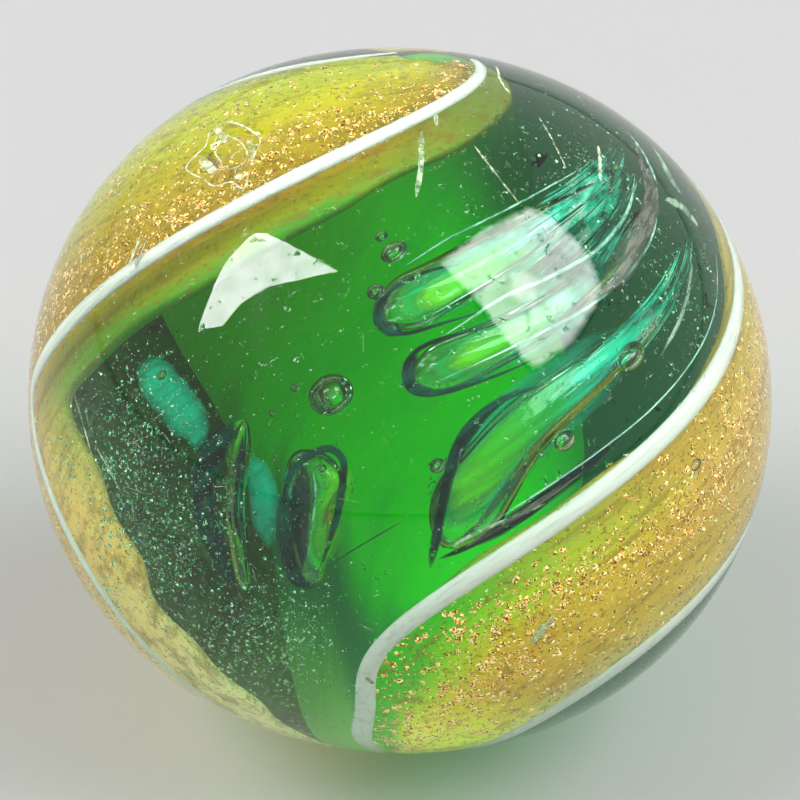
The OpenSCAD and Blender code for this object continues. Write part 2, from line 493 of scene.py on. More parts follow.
def buildGlass():
    bm = bmesh.new()
    bmesh.ops.create_icosphere(bm, subdivisions=7, radius=1.0)
    for v in bm.verts:
        d = v.co.normalized()
        lat = math.asin(max(-1, min(1, d.z)))
        v.co = lie @ d * (surfaceReach(lat) * mm)
    for (angle, lat, ring, width, deep) in dents:
        centre = onBall(angle, 0, lat)
        reach = (ring + 2.2 * width) * mm
        close = [e for e in bm.edges if (e.verts[0].co - centre).length < reach]
        bmesh.ops.subdivide_edges(bm, edges=close, cuts=2, use_grid_fill=True)
        east = centre.cross(up).normalized()
        north = centre.cross(east).normalized()
        for v in bm.verts:
            offset = v.co - centre
            if offset.length < reach:
                away = offset.length / mm
                turn = math.atan2(offset.dot(north), offset.dot(east))
                corner = 1 + 0.16 * math.cos(3 * turn + 0.6) + 0.1 * math.cos(5 * turn)
                groove = math.exp(-(((away - ring * corner) / width) ** 2))
                broken = 0.6 + 0.4 * math.sin(2 * turn + 1) if ring else 1
                v.co -= centre.normalized() * (deep * broken * groove * mm)
    bmesh.ops.triangulate(bm, faces=[f for f in bm.faces if len(f.verts) > 3])
    bmesh.ops.recalc_face_normals(bm, faces=bm.faces)
    outer = set(bm.faces)
    for path, wide, thick, tail, ridges in fingers:
        def lobed(t, around, tail=tail, ridges=ridges):
            fat = blunt(t, 0.22, 0.08) * (1 - (1 - tail) * t)
            return fat * (1 + 0.05 * math.cos(ridges * around + 6 * t))
        addBar(bm, path, wide, thick, lobed, 40, 64)
    for (angle, depth, lat, size, longer) in bubbles:
        here = onBall(angle, depth, lat)
        ahead = (onBall(angle, depth, lat + 2) - here).normalized()
        made = bmesh.ops.create_icosphere(bm, subdivisions=4, radius=size / 2 * mm)["verts"]
        for v in made:
            v.co = here + v.co + ahead * (ahead.dot(v.co) * (longer - 1))
    traps = [f for f in bm.faces if f not in outer]
    bmesh.ops.remove_doubles(bm, verts=list({v for f in traps for v in f.verts}), dist=1e-8)
    traps = [f for f in bm.faces if f not in outer]
    bmesh.ops.recalc_face_normals(bm, faces=traps)
    bmesh.ops.reverse_faces(bm, faces=traps)  # an air trap's skin faces into its air
    return finishPiece("glassBody", bm, clearGlass(), ("glass_body",))


# White strands: start angle of each on the cane, thickness and depth of their middle in mm
strandLook = {
    "angles": {
        "upper_back": 107.0, "upper_front": 189.5, "lower_front": 308.5, "lower_back": 368.5,
    },
    "wide": {"upper_back": 0.36, "upper_front": 0.44, "lower_front": 0.52, "lower_back": 0.6},
    "thick": 0.34,
    "depth": 0.42,
    "endLat": 81.0,
    "bright": (0.64, 0.66, 0.6),
    "shade": (0.4, 0.47, 0.4),
    "speck": (0.4, 0.42, 0.36),
    # painted light: a faint glow in the strands' colour that lifts their shaded undersides
    "glow": 0.18,
}


def strandMaterial():
    mat, tree, shader = newMaterial("whiteStrandGlass")
    bright = strandLook["bright"]
    colour = ramp(tree, lined(tree, 5200, 260, 4), [(0.28, strandLook["shade"]), (0.5, bright)])
    specks = ramp(tree, grain(tree, 2400, 3, 0.7), [(0.24, strandLook["speck"]), (0.32, bright)])
    paint(mat, blend(tree, 0.35, colour, specks), (0.3, 0.55), strandLook["glow"])
    return mat


def buildStrands():
    material = strandMaterial()
    for key, angle in strandLook["angles"].items():
        path = [(angle, strandLook["depth"], strandLook["endLat"] * s) for s in (-1, 1)]
        bm = bmesh.new()
        phase = angle / 20

        def swell(t, around, phase=phase):
            ripple = 1 + 0.07 * math.sin(9 * t + phase) + 0.04 * math.sin(31 * t + phase)
            return (0.45 + 0.55 * min(1, math.sin(math.pi * t) / 0.35)) * ripple
        hung = bands["upper"]["hung"]
        shift = {"upper_front": lambda lat: hung * hang(lat), "lower_front": footBend}.get(key)
        addBar(bm, path, strandLook["wide"][key], strandLook["thick"], swell, 20, 180, shift)
        words = "".join(w.capitalize() for w in key.split("_"))
        makePiece("whiteStrand" + words, bm, material, ("white_strand_" + key,))


# Coloured bands: start and width on the cane in degrees, how far the yellow runs ahead at its back
# and front edge and beyond both near the upper pole, and the shares of the hang that the flakes and
# the yellow take, and of the bow
bands = {
    "upper": {
        "start": 107.0, "width": 82.5, "lead": (-6.0, 12.0), "topLead": 9.0, "topBack": 16.0,
        "hung": 0.9, "yellowHung": 0.94, "bow": 0.0,
    },
    "lower": {
        "start": 308.5, "width": 60.0, "lead": (2.0, 9.0), "topLead": 0.0, "topBack": 0.0,
        "hung": 0.0, "yellowHung": 0.0, "bow": 1.0,
    },
}


def bandAngle(band, lat, share, hung):
    # cane angle at a share of a band's width
    bowed = band["bow"] * footBend(lat) * (1 - share)
    return band["start"] + (band["width"] + hung * hang(lat)) * share + bowed


# Colours across each band, from its back edge to its front one, then the tones it takes up and down
# as (latitude where it starts, latitude where it is full, colour), and of its fine veins
yellowLook = {
    "depth": 1.35, "thick": 0.4, "endLat": 83.0, "wave": 0.08, "glow": 0.6, "sway": 0.16,
    "ruffle": 1.6,  # how much more the upper band's edges wave below the equator
    "upper": {
        "across": [
            (0.0, (0.66, 0.56, 0.0)), (0.4, (0.78, 0.54, 0.0)), (0.6, (0.68, 0.38, 0.005)),
            (0.84, (0.56, 0.24, 0.01)), (0.89, (0.44, 0.31, 0.0)), (0.95, (0.34, 0.3, 0.0)),
            (1.0, (0.06, 0.28, 0.01)),
        ],
        "turn": (26, -4, (0.62, 0.27, 0.03)),
        "crown": (46, 62, (0.22, 0.24, 0.02)),
        "foot": (5, -20, (0.92, 0.5, 0.12)),
        # sole: a cream tone low on the band, partly its own colour and partly painted glow and reflection
        # along the lower left rim
        "sole": (-28, -55, (1.0, 0.74, 0.34)),
        "vein": (0.3, 0.14, 0.01),
    },
    "lower": {
        "across": [
            (0.0, (0.02, 0.62, 0.0)), (0.14, (0.1, 0.68, 0.0)), (0.24, (0.55, 0.84, 0.0)),
            (0.36, (0.95, 0.68, 0.0)), (0.46, (1.0, 0.54, 0.01)), (0.75, (1.0, 0.5, 0.04)),
            (0.9, (0.95, 0.6, 0.2)), (1.0, (0.95, 0.78, 0.5)),
        ],
        "turn": (-32, -4, (0.9, 0.42, 0.06)),
        # foot: partly the band's own yellow, partly painted glow of the light gathered at the ball's bottom
        "foot": (-48, -66, (1.0, 1.0, 0.0)),
        "vein": (0.36, 0.16, 0.01),
    },
}


def yellowMaterial(key):
    look = yellowLook[key]
    mat, tree, shader = newMaterial("yellowGlass" + key.capitalize())
    broad = streaks(tree, 620, 120, 3)
    fine = lined(tree, 2600, 200, 3)
    place = swayed(tree, "across", broad.outputs["Streaks"], yellowLook["sway"])

    def reached(name):
        # how far a tone has come in, and its colour
        low, high, tone = look[name]
        lat = broad.outputs["Latitude"]
        return between(tree, lat, math.radians(low), math.radians(high), "LINEAR"), tone
    colour = ramp(tree, place, look["across"])
    turned, turnTone = reached("turn")
    spared = ramp(tree, place, [(0.84, 0.8), (0.9, 0.0)]) if key == "upper" else 0.9
    colour = blend(tree, sums(tree, "MULTIPLY", turned, spared), colour, turnTone)
    foot, footTone = reached("foot")
    if key == "upper":
        sole, soleTone = reached("sole")
        footTone = blend(tree, sole, footTone, soleTone)
        crown, crownTone = reached("crown")
        crown = sums(tree, "MULTIPLY", crown, ramp(tree, place, [(0.7, 0.0), (0.82, 1.0)]))
        colour = blend(tree, crown, colour, crownTone)
    else:
        foot = sums(tree, "MULTIPLY", foot, ramp(tree, place, [(0.14, 0.0), (0.3, 1.0)]))
    colour = blend(tree, foot, colour, footTone)
    mottle = ramp(tree, grain(tree, 1500, 4, 0.65), [(0.48, 0.0), (0.62, 0.6)])
    for amount in (
        sums(tree, "MULTIPLY", foot, mottle),
        ramp(tree, fine, [(0.52, 0.0), (0.7, 0.55)]),
        ramp(tree, grain(tree, 7200, 2, 0.6), [(0.58, 0.0), (0.66, 0.75)]),
    ):
        colour = blend(tree, amount, colour, look["vein"])
    # a painted glow in the band's colour stands in for light passing through it; it is full where the foot
    # tone has come in and half as strong elsewhere, painted glow of light gathered low in the ball
    paint(mat, colour, (0.35, 0.6), yellowLook["glow"])
    inner = blend(tree, foot, blend(tree, 0.5, colour, (0, 0, 0)), colour)
    fill(tree, shader, Emission_Color=inner)
    bumped(tree, shader, fine, 0.00006)
    return mat


def buildYellow(key):
    band = bands[key]
    bm = bmesh.new()
    bmesh.ops.create_grid(bm, x_segments=60, y_segments=200, size=1.0)
    across = bm.verts.layers.float.new("across")
    for v in bm.verts:
        lat = yellowLook["endLat"] * v.co.y
        share = (v.co.x + 1) / 2
        v[across] = share
        wobble = (0.9 * math.sin(lat / 7 + 4 * share) + 0.5 * math.sin(lat / 2.6)) * abs(v.co.x)
        if key == "upper":
            wobble *= 1 + yellowLook["ruffle"] * max(0, min(1, -lat / 12))
        ahead = band["lead"][0] + (band["lead"][1] - band["lead"][0]) * share
        ahead += band["topLead"] * share * max(0, min(1, (lat - 42) / 33))
        ahead -= band["topBack"] * (1 - share) * max(0, min(1, (lat - 50) / 25))
        angle = bandAngle(band, lat, share, band["yellowHung"]) + ahead + wobble
        depth = yellowLook["depth"] + yellowLook["wave"] * math.sin(v.co.x * 9 + lat / 11)
        v.co = onBall(angle, depth, lat)
    bmesh.ops.recalc_face_normals(bm, faces=bm.faces)
    first = bm.faces[:][0]
    if first.normal.dot(first.calc_center_median()) < 0:
        bmesh.ops.reverse_faces(bm, faces=bm.faces)
    bmesh.ops.solidify(bm, geom=bm.faces[:], thickness=yellowLook["thick"] * mm)
    stands = ("yellow_band_" + key,)
    makePiece("yellowBand" + key.capitalize(), bm, yellowMaterial(key), stands)


# Goldstone: number of flakes, the share of the band's width where they crowd, how wide that is, and
# the chance of a flake elsewhere; then size, depth and end latitude of all of them
goldstone = {
    "upper": {"count": 7500, "crowd": 0.85, "spread": 0.14, "thin": 0.2},
    "lower": {"count": 8000, "crowd": 0.42, "spread": 0.17, "thin": 0.22},
    "small": 0.018,
    "large": 0.11,
    "top": 0.6,
    "deep": 0.5,
    "endLat": 81.0,
}


def flakeRows(key):
    look = goldstone[key]
    band = bands[key]
    top = math.sin(math.radians(goldstone["endLat"]))
    rows = []
    while len(rows) < look["count"]:
        lat = math.degrees(math.asin(random.uniform(-top, top)))
        share = random.uniform(0.01, 0.99)
        away = (share + 0.06 * math.sin(lat / 6) - look["crowd"]) / look["spread"]
        if random.random() > look["thin"] + (1 - look["thin"]) * math.exp(-away * away):
            continue
        angle = bandAngle(band, lat, share, band["hung"])
        depth = goldstone["top"] + goldstone["deep"] * random.random()
        size = goldstone["small"] * (goldstone["large"] / goldstone["small"]) ** (random.random() ** 2.5)
        rows.append((angle, depth, lat, random.uniform(0, 2 * math.pi), random.gauss(0, 0.5), size))
    return rows


def addFlake(bm, row):
    angle, depth, lat, spin, lean, size = row
    here = onBall(angle, depth, lat)
    turned = Matrix.Rotation(spin, 4, "Z") @ Matrix.Rotation(lean, 4, "X")
    facing = here.normalized().to_track_quat("Z", "Y").to_matrix().to_4x4()
    bmesh.ops.create_cone(
        bm, cap_ends=True, segments=5, radius1=size * mm, radius2=size * mm * 0.9, depth=size * mm * 0.2,
        matrix=Matrix.Translation(here) @ facing @ turned,
    )


def flakeMaterial():
    mat, tree, shader = newMaterial("goldstoneFlakes")
    colour = ramp(tree, grain(tree, 19000, 0), [
        (0.36, (0.12, 0.04, 0.0)), (0.45, (0.8, 0.26, 0.01)), (0.56, (1.0, 0.52, 0.06)),
        (0.64, (1.0, 0.88, 0.5)),
    ])
    # a painted glow in their own colour keeps the flakes bright gold where they catch no light
    paint(mat, colour, (0.25, 0.5), 0.6)
    shader.inputs["Metallic"].default_value = 0.1
    return mat


# Core: a twisted blade, sizes in mm as in the part's source
core = {
    "long": 15.0, "thick": 3.2, "reach": 5.0, "short": 2.4, "glow": 0.68, "drift": 0.0016,
    # tones it takes as (direction, share of the drift, from and to in metres, colour)
    "tones": [
        # painted shade: darker towards the upper right and the right, so that the core fades into the dark
        # clear glass there
        (right * 0.75 + up * 0.66, 1.0, 0.0018, 0.0044, (0.008, 0.085, 0.035)),
        (right, 1.0, 0.0018, 0.0042, (0.0, 0.3, 0.07)),
        (right * -0.8 - up * 0.6, 1.8, 0.0019, 0.003, (0.03, 0.22, 0.07)),
        (right * -0.8 - up * 0.6, 1.8, 0.0032, 0.0044, (0.22, 0.46, 0.08)),
        (up * 0.55 - right * 0.83, 1.0, 0.0002, 0.0042, (0.13, 0.42, 0.0)),
    ],
}


def buildCore():
    mat, tree, shader = newMaterial("greenCoreGlass")
    broad = lined(tree, 420, 90, 3)
    fine = lined(tree, 1800, 150, 3)
    colour = ramp(tree, broad, [
        (0.3, (0.0, 0.72, 0.0)), (0.5, (0.0, 0.92, 0.0)), (0.7, (0.06, 1.0, 0.0)),
    ])
    veins = ramp(tree, fine, [(0.5, 0.0), (0.7, 0.4)])
    colour = blend(tree, veins, colour, (0.0, 0.55, 0.04))
    drift = sums(tree, "MULTIPLY_ADD", broad, core["drift"], -core["drift"] / 2)
    for direction, share, low, high, tone in core["tones"]:
        way = sums(tree, "MULTIPLY_ADD", drift, share, towards(tree, direction))
        colour = blend(tree, between(tree, way, low, high), colour, tone)
    # a painted glow in the core's colour stands in for the light passing through it
    paint(mat, colour, (0.35, 0.6), core["glow"])
    bumped(tree, shader, fine, 0.0001)
    bm = bmesh.new()
    bmesh.ops.create_uvsphere(bm, u_segments=96, v_segments=120, radius=1.0)
    middle = bands["upper"]["start"] + bands["upper"]["width"] / 2
    for v in bm.verts:
        z = v.co.z * core["long"] / 2
        turn = math.radians(middle + swirl(math.degrees(math.asin(2 * z / ball["poleToPole"]))))
        full = math.hypot(v.co.x, v.co.y)
        around = math.atan2(v.co.y, v.co.x)
        side = 1 if math.cos(around) > 0 else -1
        share = 0.5 + 0.5 * math.sin(math.pi / 2 * max(-1, min(1, side * z / (core["long"] / 5))))
        x = math.cos(around) * full * (core["short"] + (core["reach"] - core["short"]) * share)
        y = math.sin(around) * full * core["thick"] / 2 * (1 + 0.04 * math.sin(7 * around + z))
        local = Vector((x * math.cos(turn) - y * math.sin(turn), x * math.sin(turn) + y * math.cos(turn), z))
        v.co = lie @ local * mm
    makePiece("greenCore", bm, mat, ("green_core",))


# Drawn-out air: fine threads that run with the swirl between two lines, as (left line, right line,
# how many), and their widths in mm
threads = {
    "fans": [
        ([(232, 1.8, 33), (236, 1.8, 41), (249, 1.8, 50), (266, 1.8, 56)],
         [(267, 1.6, 20), (266, 1.6, 28), (266, 1.6, 37), (270, 1.6, 47)], 36),
        ([(279, 2.0, 6), (281, 2.0, 12), (283, 2.0, 20), (288, 2.0, 32)],
         [(294, 2.0, 4), (293, 2.0, 14), (294, 2.0, 24), (297, 2.0, 38)], 16),
    ],
    "small": 0.015,
    "large": 0.11,
}


def threadRows():
    rows = []
    for left, last, count in threads["fans"]:
        for i in range(count):
            f = (i + random.random()) / count
            path = [[p + (q - p) * f for p, q in zip(a, b)] for a, b in zip(left, last)]
            start = random.uniform(0, 0.45)
            end = random.uniform(0.75, 1)
            path = [alongPath(path, start + (end - start) * k / 4) for k in range(5)]
            rows.append((path, random.uniform(threads["small"], threads["large"])))
    return rows


def addThread(bm, row):
    path, width = row
    addBar(bm, path, width, width * 0.4, lambda t, around: 0.2 + 0.8 * math.sin(math.pi * t), 5, 16)


def threadMaterial():
    mat, tree, shader = newMaterial("airThreads")
    # the air threads are real, their turquoise and near white a painted sheen of the light they catch, over
    # dark teal
    colour = ramp(tree, lined(tree, 2600, 120, 2), [
        (0.36, (0.0, 0.1, 0.07)), (0.46, (0.0, 0.5, 0.36)), (0.56, (0.1, 0.85, 0.7)),
        (0.66, (0.8, 0.95, 0.88)),
    ])
    paint(mat, colour, (0.25, 0.5))
    fill(tree, shader, Alpha=ramp(tree, lined(tree, 900, 420, 3), [(0.35, 0.15), (0.6, 0.95)]))
    return mat


# Painted light and shade of the air traps: coloured sheets at the back of the traps, the lime, green and
# turquoise painted light and the dark teal painted shade; points as (cane angle, latitude), width and depth
# in mm, and run, which picks the colour at each end: 0 lime, 0.4 green, 0.55 turquoise, 0.75 deep turquoise,
# 0.9 dark teal, 1 darkest
trapLightAndShade = [
    ([(237, 19), (238.5, 25), (242, 34), (250, 43)], 1.3, 2.2, (0.3, 0.72)),
    ([(239, 21.5), (240.5, 26), (243, 32), (246, 37)], 0.95, 2.05, (0.0, 0.45)),
    ([(257.5, 8.5), (260.5, 14), (265, 22), (269, 34)], 1.2, 2.2, (0.3, 0.72)),
    ([(259, 11), (261.5, 15.5), (264.5, 20), (266.5, 25)], 0.85, 2.05, (0.0, 0.45)),
    ([(302, -19.5), (293.5, -9), (287, 1), (286, 11), (290, 22)], 1.8, 2.4, (0.4, 0.8)),
    ([(299, -16), (293, -9), (288, -1), (285.5, 5), (287, 11), (289, 16)], 1.3, 2.2, (0.0, 0.6)),
    ([(283.5, 9), (285, 13), (286.5, 17), (290, 24)], 0.45, 2.0, (0.52, 0.62)),
    ([(305, -24), (297, -17), (283, -5), (276.5, 3), (275.5, 9)], 0.26, 1.7, (1.0, 0.9)),
    ([(303.5, -17.5), (303, -9), (302, 2)], 0.4, 1.0, (1.0, 1.0)),
    ([(264.7, -7.4), (270.7, -10.5), (276.7, -16.2), (284, -23.3), (288.6, -28.5)],
     0.62, 2.35, (0.0, 0.25)),
    ([(263.5, -10.5), (270.5, -17), (278.7, -23.7), (286, -30)], 0.6, 2.3, (0.93, 1.0)),
    ([(240.5, -1.7), (243.8, -5.4), (249.2, -10.5)], 0.32, 2.3, (0.0, 0.2)),
    ([(263.3, -21.3), (270.6, -27), (277.3, -33.1)], 0.2, 2.3, (0.1, 0.2)),
    ([(240.6, -1.1), (253.1, -10.3), (265.8, -21.1), (274.5, -29.4)], 0.07, 2.1, (0.3, 0.4)),
    ([(242, -2.5), (249, -8.7), (257.5, -16), (266.6, -23.5), (278, -35.4)], 0.42, 2.4, (1.0, 1.0)),
    ([(250, -8.3), (256, -11.7), (261.7, -15.3), (268.8, -21), (275, -26.5)], 0.75, 2.6, (0.52, 0.64)),
    ([(204.8, 4.9), (214.3, 2.3), (224, -1), (232.8, -4.7), (239, -8.8)], 1.1, 2.6, (0.56, 0.62)),
]


def buildTrapLightAndShade():
    mat, tree, shader = newMaterial("trapPaintedLightAndShade")
    lines = lined(tree, 2600, 160, 3)
    # lime, green and turquoise are painted light in the air traps, the dark tones painted shade, with a
    # faint painted glow
    colour = ramp(tree, swayed(tree, "run", lines, 0.16), [
        (0.0, (0.17, 0.6, 0.0)), (0.2, (0.06, 0.5, 0.0)), (0.4, (0.0, 0.34, 0.05)), (0.55, (0.0, 0.6, 0.4)),
        (0.75, (0.0, 0.22, 0.16)), (0.9, (0.0, 0.04, 0.03)), (1.0, (0.0, 0.012, 0.01)),
    ])
    colour = blend(tree, ramp(tree, lines, [(0.4, 0.35), (0.58, 0.0)]), colour, (0.0, 0.05, 0.03))
    paint(mat, colour, (0.25, 0.5), 0.25)
    edge = sums(tree, "MULTIPLY_ADD", lines, 0.4, kept(tree, "rim"))
    fill(tree, shader, Alpha=ramp(tree, edge, [(0.16, 0.0), (0.8, 1.0)]))
    bumped(tree, shader, lines, 0.00005)
    makeBars("trapLightAndShadeSheets", mat, trapLightAndShade, atDepth, lambda width: 0.1, (0.25, 0.35), 16, 48)


# Creases: points as (cane angle, latitude), width and depth in mm, then the two tones of each kind
creases = {
    "brown": [
        ([(264, 52), (265.5, 46), (267.8, 40), (267.8, 33), (269.5, 27), (268.5, 22)], 0.5, 0.4),
        ([(301, -17), (301.5, -11), (302, -4)], 0.14, 0.6),
    ],
    "pale": [
        ([(262.9, 46), (262.7, 38), (260.5, 31), (256.3, 26), (252.7, 22), (252, 15)], 0.1, 0.9),
        ([(268.7, 43), (271.6, 35), (271.3, 28), (269.5, 22), (265, 15), (261, 8)], 0.07, 0.6),
        ([(229, 27), (230, 34), (238, 44), (250, 51)], 0.05, 1.4),
        ([(264, -9), (271.5, -14.5), (279, -21), (285.5, -27.5)], 0.06, 2.15),
        ([(295.6, 30), (299.8, 19), (300.5, 7), (299.7, -1), (299, -10), (298.5, -17)], 0.05, 0.5),
        ([(263, 54), (266.5, 48), (269.5, 42)], 0.1, 0.35),
    ],
    "flat": [
        ([(276.5, 50), (276.8, 44), (281, 40)], 0.26, 0.4),
        ([(273, 39.5), (280, 38), (288, 34)], 0.3, 0.4),
        ([(285, 30), (289, 22), (292, 13)], 0.12, 0.4),
    ],
    "tones": {
        "brown": ((0.02, 0.03, 0.02), (0.16, 0.16, 0.12)),
        "pale": ((0.08, 0.4, 0.32), (0.6, 0.88, 0.76)),
        "flat": ((0.14, 0.3, 0.2), (0.4, 0.55, 0.4)),
    },
}


def buildCreases():
    for key, (low, high) in creases["tones"].items():
        mat, tree, shader = newMaterial(key + "Crease")
        lines = lined(tree, 5200, 320, 3)
        fill(
            tree, shader, Base_Color=ramp(tree, lines, [(0.35, low), (0.62, high)]),
            Alpha=ramp(tree, lines, [(0.34, 0.2), (0.6, 0.9)]),
            Roughness=ramp(tree, grain(tree, 1200), [(0.3, 0.2), (0.7, 0.45)]),
        )

        def thick(width):
            return 0.06 if width > 0.3 else width * 0.5
        makeBars(key + "Creases", mat, creases[key], atDepth, thick, (0.3, 0.3), 12, 60)


# Painted shade: dark edges that stand in for the dark outline the air traps show at their blunt ends, as
# picture points, width and depth in mm, and their thickness as a share of the width up to a limit
trapEdgeShade = {
    "rows": [
        ([(470, 263), (432, 270), (401, 284), (381, 300), (376, 318), (386, 331), (408, 333), (450, 321),
          (505, 304)], 0.13, 1.25),
        ([(392, 291), (380, 305), (380, 322), (392, 331), (404, 330)], 0.3, 1.3),
        ([(505, 322), (458, 334), (424, 346), (407, 362), (405, 380), (414, 392), (440, 393), (500, 374),
          (560, 346)], 0.14, 1.25),
        ([(420, 352), (409, 366), (410, 382), (420, 390), (434, 389)], 0.32, 1.3),
        ([(548, 383), (505, 398), (474, 420), (455, 448), (446, 482), (440, 515), (429, 566)], 0.2, 1.3),
        ([(436, 560), (470, 546), (520, 520), (560, 492)], 0.16, 1.25),
        ([(283, 512), (284, 492), (294, 468), (312, 454), (330, 449), (343, 460), (343, 482), (337, 516),
          (327, 549), (316, 578)], 0.2, 1.5),
        ([(287, 490), (284, 520), (288, 552), (298, 580), (316, 588)], 0.45, 1.6),
        ([(243, 424), (222, 440), (206, 470), (204, 510), (218, 552), (240, 596)], 0.75, 1.7),
        ([(321, 571), (365, 543), (410, 517)], 0.035, 1.0),
        ([(247, 418), (244, 460), (241, 500), (244, 545), (250, 590)], 0.1, 1.5),
    ],
    "flat": 0.2,
    "thickest": 0.09,
}


def buildTrapEdgeShade():
    mat, tree, shader = newMaterial("paintedTrapEdgeShade")
    lines = lined(tree, 2600, 300, 3)
    # near black teal: painted shade at the air traps' blunt ends
    paint(mat, ramp(tree, lines, [(0.36, (0.0, 0.015, 0.01)), (0.62, (0.0, 0.09, 0.06))]), (0.2, 0.4))
    edge = sums(tree, "MULTIPLY_ADD", lines, 0.5, kept(tree, "rim"))
    fill(tree, shader, Alpha=ramp(tree, edge, [(0.22, 0.0), (0.75, 0.95)]))

    def thick(width):
        return min(width * trapEdgeShade["flat"], trapEdgeShade["thickest"])
    makeBars("airTrapPaintedShade", mat, trapEdgeShade["rows"], inGlass, thick, (0.3, 0.3), 12, 60, (0, 1))


# Dust sunk in the clear left side and foot: zones as (picture x, y, spread, count, depth from, to)
dust = {
    "zones": [
        (125, 440, 60, 1700, 0.2, 2.2), (165, 560, 60, 1700, 0.2, 2.2), (240, 655, 55, 1500, 0.2, 2.0),
        (297, 640, 34, 900, 1.0, 2.6), (210, 500, 40, 500, 1.5, 3.0), (680, 290, 45, 400, 0.3, 2.2),
        (590, 130, 60, 400, 0.2, 1.6), (62, 470, 22, 300, 0.2, 1.1), (112, 612, 26, 420, 0.2, 1.1),
        (190, 690, 30, 360, 0.2, 1.1), (109, 466, 9, 90, 0.1, 0.5), (110, 530, 30, 500, 0.1, 0.9),
    ],
    "limit": 356,
    "small": 0.009,
    "large": 0.06,
}


def dustRows():
    rows = []
    for (x, y, spread, count, shallow, deep) in dust["zones"]:
        while count > 0:
            px = random.gauss(x, spread * 0.55)
            py = random.gauss(y, spread * 0.8)
            if not onDisc(px, py, dust["limit"]):
                continue
            count -= 1
            angle, depth, lat = caneAt(px, py, random.uniform(shallow, deep))
            size = dust["small"] * (dust["large"] / dust["small"]) ** (random.random() ** 3)
            rows.append((angle, depth, lat, random.uniform(0, 2 * math.pi), random.gauss(0, 0.9), size))
    return rows


def dustMaterial():
    mat, tree, shader = newMaterial("sunkenDust")
    colour = ramp(tree, grain(tree, 15000, 0), [
        (0.38, (0.0, 0.2, 0.09)), (0.5, (0.02, 0.35, 0.14)), (0.58, (0.3, 0.7, 0.3)),
        (0.66, (0.95, 1.0, 0.8)),
    ])
    low = between(tree, towards(tree, up), -0.0045, -0.0072)
    # a faint painted glow in the dust's own colour
    paint(mat, blend(tree, sums(tree, "MULTIPLY", low, 0.6), colour, (0.62, 0.72, 0.2)), (0.3, 0.6), 0.2)
    return mat


# Bruise and chip: little cracks under the skin as (points of the picture, width, depth in mm)
bruise = {
    "edges": [
        ([(210, 129), (225, 122), (241, 125), (258, 135), (257, 148), (250, 169)], 0.05, 0.1),
        ([(250, 169), (244, 188), (231, 182), (214, 186), (203, 179)], 0.045, 0.12),
        ([(203, 179), (186, 169), (194, 157), (206, 144), (210, 129)], 0.04, 0.12),
        ([(222, 132), (214, 141), (216, 150), (220, 161), (226, 169)], 0.035, 0.16),
        ([(226, 169), (237, 166), (245, 157), (243, 145), (233, 137), (222, 132)], 0.03, 0.2),
        ([(240, 150), (234, 154), (230, 160)], 0.03, 0.14),
        # these two short cracks are painted bright, partly their own pale faces and partly a painted glint
        # off them
        ([(140, 234), (134, 250), (128, 266)], 0.05, 0.08),
        ([(147, 238), (141, 253), (134, 269)], 0.03, 0.08),
        ([(495, 66), (499, 76), (504, 86), (511, 94)], 0.07, 0.15),
        ([(598, 145), (600, 163), (600, 182)], 0.1, 0.3),
        ([(568, 80), (590, 90), (613, 104)], 0.1, 0.1),
        ([(435, 106), (437, 126)], 0.12, 0.5),
    ],
    "facets": [
        ([(214, 127), (221, 134), (226, 141)], 0.2, 0.12),
        ([(200, 158), (207, 166), (217, 174)], 0.24, 0.16),
        ([(247, 140), (251, 150), (247, 160)], 0.17, 0.14),
        ([(236, 174), (242, 179)], 0.2, 0.16),
        ([(139, 238), (134, 250), (129, 262)], 0.13, 0.1),
        ([(531, 644), (542, 630), (554, 615)], 0.26, 0.5),
        ([(449, 548), (480, 531), (512, 518), (546, 503)], 0.1, 0.9),
        ([(422, 130), (421, 165), (416, 198)], 0.14, 0.8),
        ([(474, 145), (496, 174), (520, 204)], 0.06, 0.3),
        ([(539, 117), (554, 143), (566, 168)], 0.06, 0.3),
        ([(74, 393), (83, 424), (92, 455)], 0.05, 0.3),
        ([(94, 443), (108, 468), (124, 497)], 0.05, 0.3),
    ],
    "shade": [
        ([(146, 240), (140, 254), (135, 268)], 0.13, 0.14),
        ([(206, 150), (210, 160), (216, 168)], 0.3, 0.3),
        ([(366, 677), (370, 681), (374, 684)], 0.1, 0.1),
    ],
}


def buildBruise():
    looks = {
        "edges": ((0.6, 0.6, 0.42), (0.95, 0.95, 0.8), 0.45, 0.95),
        "facets": ((0.3, 0.38, 0.22), (0.8, 0.82, 0.6), 0.1, 0.75),
        "shade": ((0.06, 0.05, 0.01), (0.25, 0.2, 0.06), 0.3, 0.8),
    }
    for key, rows in bruise.items():
        low, high, least, most = looks[key]
        mat, tree, shader = newMaterial(key + "OfBruise")
        cloudy = grain(tree, 4200, 3, 0.6)
        fill(
            tree, shader, Base_Color=ramp(tree, cloudy, [(0.36, low), (0.6, high)]),
            Alpha=ramp(tree, cloudy, [(0.38, least), (0.6, most)]),
            Roughness=ramp(tree, cloudy, [(0.3, 0.1), (0.7, 0.4)]),
        )
        bumped(tree, shader, cloudy, 0.00008)

        def thick(width, key=key):
            return width * 0.5 if key == "edges" else 0.03
        makeBars("bruise" + key.capitalize(), mat, rows, inGlass, thick, (0.2, 0.2), 8, 40)


# Wear on the skin: pits and scratches, zones as (picture x, y, spread, count)
wear = {
    "zones": [
        (130, 470, 70, 1500), (165, 570, 60, 900), (250, 660, 75, 1000), (620, 170, 90, 800),
        (690, 330, 60, 300), (300, 360, 140, 200), (520, 300, 90, 100), (230, 150, 50, 60),
        (560, 600, 110, 90),
    ],
    "limit": 350,
    "everywhere": 3000,
    "scratches": 90,
    "small": 0.006,
    "large": 0.034,
}


